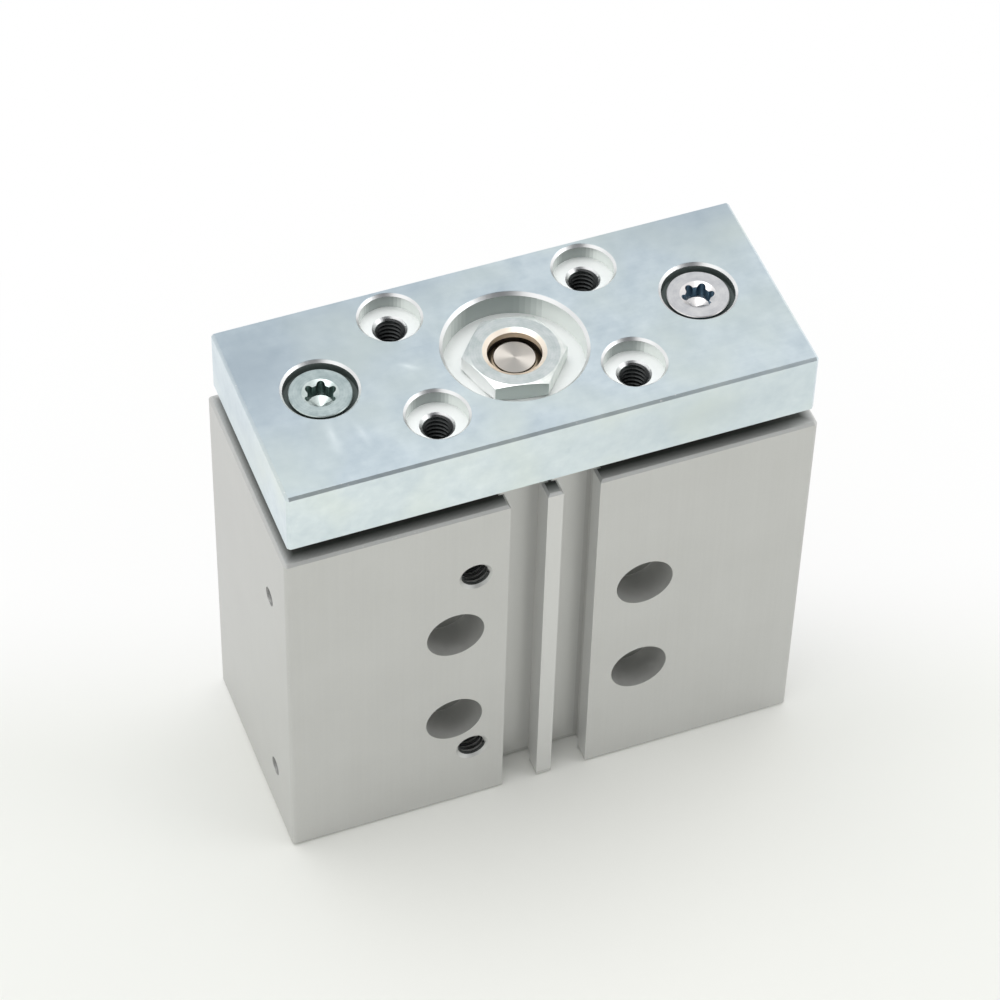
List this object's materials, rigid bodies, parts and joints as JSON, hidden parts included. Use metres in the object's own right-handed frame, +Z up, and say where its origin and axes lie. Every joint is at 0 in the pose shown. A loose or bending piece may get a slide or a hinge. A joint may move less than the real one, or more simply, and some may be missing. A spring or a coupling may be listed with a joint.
{
  "type": "guided pneumatic cylinder",
  "caption": "Compact guided air cylinder: a block housing with sensor slots, two guide rods and a piston rod that drive a drilled yoke plate.",
  "frame": {"origin": "centre of the housing's underside", "axes": "+X along the housing's long side, +Y from the slotted front face to the back, +Z up along the piston rod, the way the yoke plate extends"},
  "size_m": [0.082, 0.035, 0.0795],
  "materials": {
    "anodised_housing": "extruded aluminium, machined and natural anodised, satin",
    "turned_aluminium": "turned aluminium, natural anodised",
    "zinc_plated_plate": "milled steel, bright zinc plated with a blue passivation",
    "zinc_plated_fastener": "cold-formed steel, bright zinc plated",
    "stainless_rod": "stainless steel, ground and turned",
    "hard_chromed_guide": "hardened steel bar, hard chromed and ground",
    "spring_steel": "spring steel, phosphated and oiled",
    "plain_bearing_bronze": "sintered bronze, oil filled",
    "seal_rubber": "moulded nitrile rubber",
    "cushion_elastomer": "cast polyurethane elastomer",
    "piston_aluminium": "turned aluminium, bare",
    "bonded_magnet": "plastic-bonded ferrite",
    "wear_ring_plastic": "acetal guide band",
    "plug_steel": "steel drive-in plug"
  },
  "bodies": {
    "housing": {"housing": "anodised_housing", "end_cap": "turned_aluminium", "end_cap_o_ring": "seal_rubber", "end_cap_retaining_ring": "spring_steel", "lower_cushion_pad": "cushion_elastomer", "upper_cushion_pad": "cushion_elastomer", "rod_cover": "turned_aluminium", "rod_cover_o_ring": "seal_rubber", "rod_cover_retaining_ring": "spring_steel", "rod_bearing": "plain_bearing_bronze", "rod_seal": "seal_rubber", "passage_plug_lower": "plug_steel", "passage_plug_upper": "plug_steel", "guide_bush_left_lower": "plain_bearing_bronze", "guide_bush_left_upper": "plain_bearing_bronze", "guide_bush_right_lower": "plain_bearing_bronze", "guide_bush_right_upper": "plain_bearing_bronze", "guide_wiper_left": "seal_rubber", "guide_wiper_right": "seal_rubber"},
    "yoke": {"yoke_plate": "zinc_plated_plate", "piston_rod": "stainless_rod", "rod_nut": "zinc_plated_fastener", "guide_rod_left": "hard_chromed_guide", "guide_rod_right": "hard_chromed_guide", "yoke_screw_left": "zinc_plated_fastener", "yoke_screw_right": "zinc_plated_fastener", "piston_lower_half": "piston_aluminium", "piston_upper_half": "piston_aluminium", "piston_magnet": "bonded_magnet", "piston_wear_ring": "wear_ring_plastic", "piston_seal_lower": "seal_rubber", "piston_seal_upper": "seal_rubber", "piston_joint_seal": "seal_rubber", "piston_nut": "zinc_plated_fastener"}
  },
  "joints": [
    {"name": "stroke", "type": "slide", "parent": "housing", "child": "yoke", "axis": [0, 0, 1], "range_m": [0, 0.025]}
  ]
}
